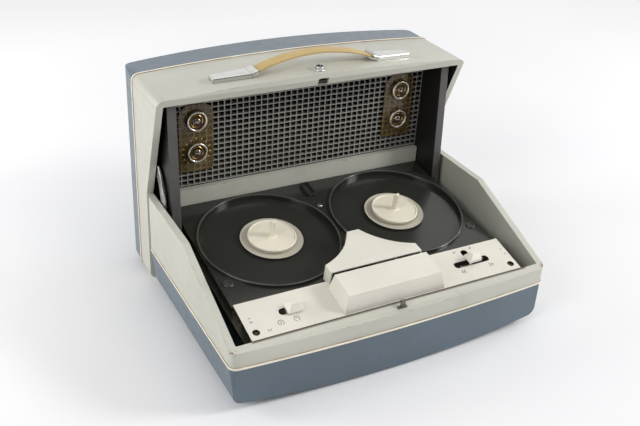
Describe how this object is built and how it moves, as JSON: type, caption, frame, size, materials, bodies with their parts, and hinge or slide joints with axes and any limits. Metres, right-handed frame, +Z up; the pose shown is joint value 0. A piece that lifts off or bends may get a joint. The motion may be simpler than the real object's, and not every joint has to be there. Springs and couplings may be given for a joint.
{
  "type": "reel-to-reel tape recorder",
  "caption": "Portable reel-to-reel tape recorder in a two-part carrying case: sloping deck with hubs and levers, hinged lid with grille, knobs, strap handle and lock.",
  "frame": {"origin": "middle of the bounding box at table level", "axes": "+X to the right of the person using it, +Y to the rear, +Z up"},
  "size_m": [0.4316, 0.3744, 0.3145],
  "materials": {
    "shell_blue": "satin moulded",
    "piping_cream": "satin",
    "frame_paint": "painted satin",
    "foot_rubber": "matt",
    "chassis_steel": "black paint",
    "steel": "plated",
    "deck_black": "fine satin",
    "cover_white": "semi gloss",
    "hub_cream": "semi gloss",
    "clip_black": "satin",
    "bronze": "sintered",
    "motor_grey": "semi gloss",
    "belt_rubber": "matt",
    "chrome": "polished",
    "post_grey": "satin",
    "baffle_wood": "stained dark",
    "grille_grey": "satin",
    "amber": "translucent",
    "cone_paper": "felted paper",
    "valve_glass": "clear",
    "strap_tan": "smooth"
  },
  "bodies": {
    "base": {"base_shell": "shell_blue", "base_piping": "piping_cream", "base_frame": "frame_paint", "base_feet": "foot_rubber", "chassis_plate": "chassis_steel", "deck_spacers": "steel", "deck_plate": "deck_black", "head_cover": "cover_white", "front_cover": "cover_white", "control_plate": "cover_white", "plate_pillars": "steel", "plate_screws": "chrome", "deck_plugs": "chrome", "tape_clip": "clip_black", "tape_heads": "steel", "tape_guides": "steel", "hub_bearings": "bronze", "capstan_bearing": "bronze", "motor": "motor_grey", "drive_belt": "belt_rubber", "mains_transformer": "motor_grey", "stick_bracket": "steel", "slide_guide": "steel", "pinch_post": "steel", "lock_striker": "chrome", "base_hinge_pins": "steel"},
    "supply_reel_hub": {"supply_hub": "hub_cream", "supply_shaft": "steel"},
    "takeup_reel_hub": {"takeup_hub": "hub_cream", "takeup_shaft": "steel"},
    "capstan_drive": {"capstan": "steel", "flywheel": "steel"},
    "motor_rotor": {"motor_pulley": "bronze"},
    "pinch_lever": {"pinch_arm": "steel"},
    "pinch_wheel": {"pinch_roller": "belt_rubber"},
    "stick_cradle": {"stick_gimbal": "steel"},
    "stick": {"stick_lever": "cover_white"},
    "slider": {"slide_lever": "cover_white"},
    "links": {"hinge_links": "chrome"},
    "lid": {"lid_frame": "frame_paint", "lid_shell": "shell_blue", "lid_piping": "piping_cream", "lid_posts": "post_grey", "baffle_board": "baffle_wood", "grille": "grille_grey", "dial_plates": "amber", "potentiometers": "steel", "speaker_basket": "motor_grey", "speaker_cone": "cone_paper", "amplifier": "steel", "valves": "valve_glass", "strap_handle": "strap_tan", "handle_caps": "chrome", "lock_bezel": "chrome", "lid_hinge_pins": "steel"},
    "upper_left_knob": {"knob_upper_left": "chrome"},
    "lower_left_knob": {"knob_lower_left": "chrome"},
    "upper_right_knob": {"knob_upper_right": "chrome"},
    "lower_right_knob": {"knob_lower_right": "chrome"},
    "lock": {"lock_button": "chrome"}
  },
  "joints": [
    {"name": "link_swing", "type": "hinge", "parent": "base", "child": "links", "pos_m": [0, 0.06715, 0.112], "axis": [1, 0, 0], "range_deg": [0, 176.9]},
    {"name": "lid_hinge", "type": "hinge", "parent": "links", "child": "lid", "pos_m": [0, 0.10515, 0.076], "axis": [1, 0, 0], "range_deg": [-86.92, 0]},
    {"name": "supply_spin", "type": "hinge", "parent": "base", "child": "supply_reel_hub", "pos_m": [-0.09, -0.0115, 0.10902], "axis": [0, -0.1392, 0.9903], "continuous": true},
    {"name": "takeup_spin", "type": "hinge", "parent": "base", "child": "takeup_reel_hub", "pos_m": [0.09, -0.0115, 0.10902], "axis": [0, -0.1392, 0.9903], "continuous": true},
    {"name": "capstan_spin", "type": "hinge", "parent": "base", "child": "capstan_drive", "pos_m": [0.026, -0.11369, 0.09466], "axis": [0, -0.1392, 0.9903], "continuous": true},
    {"name": "motor_spin", "type": "hinge", "parent": "base", "child": "motor_rotor", "pos_m": [-0.062, -0.08218, 0.05869], "axis": [0, -0.1392, 0.9903], "continuous": true},
    {"name": "stick_pitch", "type": "hinge", "parent": "base", "child": "stick_cradle", "pos_m": [0.1275, -0.13592, 0.07659], "axis": [1, 0, 0], "range_deg": [-9, 0]},
    {"name": "stick_roll", "type": "hinge", "parent": "stick_cradle", "child": "stick", "pos_m": [0.1275, -0.13592, 0.07659], "axis": [0, 0.9903, 0.1392], "range_deg": [-9, 9]},
    {"name": "pinch_swing", "type": "hinge", "parent": "base", "child": "pinch_lever", "pos_m": [0.05, -0.13399, 0.0918], "axis": [0, -0.1392, 0.9903], "range_deg": [-6.4, 0]},
    {"name": "pinch_spin", "type": "hinge", "parent": "pinch_lever", "child": "pinch_wheel", "pos_m": [0.026, -0.12854, 0.09257], "axis": [0, -0.1392, 0.9903], "continuous": true},
    {"name": "slide_shift", "type": "slide", "parent": "base", "child": "slider", "axis": [1, 0, 0], "range_m": [-0.012, 0]},
    {"name": "upper_left_turn", "type": "hinge", "parent": "lid", "child": "upper_left_knob", "pos_m": [-0.149, 0.09125, 0.2325], "axis": [0, -1, 0], "range_deg": [-140, 140]},
    {"name": "lower_left_turn", "type": "hinge", "parent": "lid", "child": "lower_left_knob", "pos_m": [-0.149, 0.09125, 0.1895], "axis": [0, -1, 0], "range_deg": [-140, 140]},
    {"name": "upper_right_turn", "type": "hinge", "parent": "lid", "child": "upper_right_knob", "pos_m": [0.149, 0.09125, 0.2325], "axis": [0, -1, 0], "range_deg": [-140, 140]},
    {"name": "lower_right_turn", "type": "hinge", "parent": "lid", "child": "lower_right_knob", "pos_m": [0.149, 0.09125, 0.1895], "axis": [0, -1, 0], "range_deg": [-140, 140]},
    {"name": "lock_press", "type": "slide", "parent": "lid", "child": "lock", "axis": [0, 0, -1], "range_m": [0, 0.0024], "stiffness_N_per_m": 400}
  ],
  "couplings": [
    {"joint": "lid_hinge", "follows": "link_swing", "ratio": -0.49125},
    {"joint": "motor_spin", "follows": "capstan_spin", "ratio": 5.25},
    {"joint": "pinch_swing", "follows": "stick_pitch", "ratio": 0.7104}
  ]
}
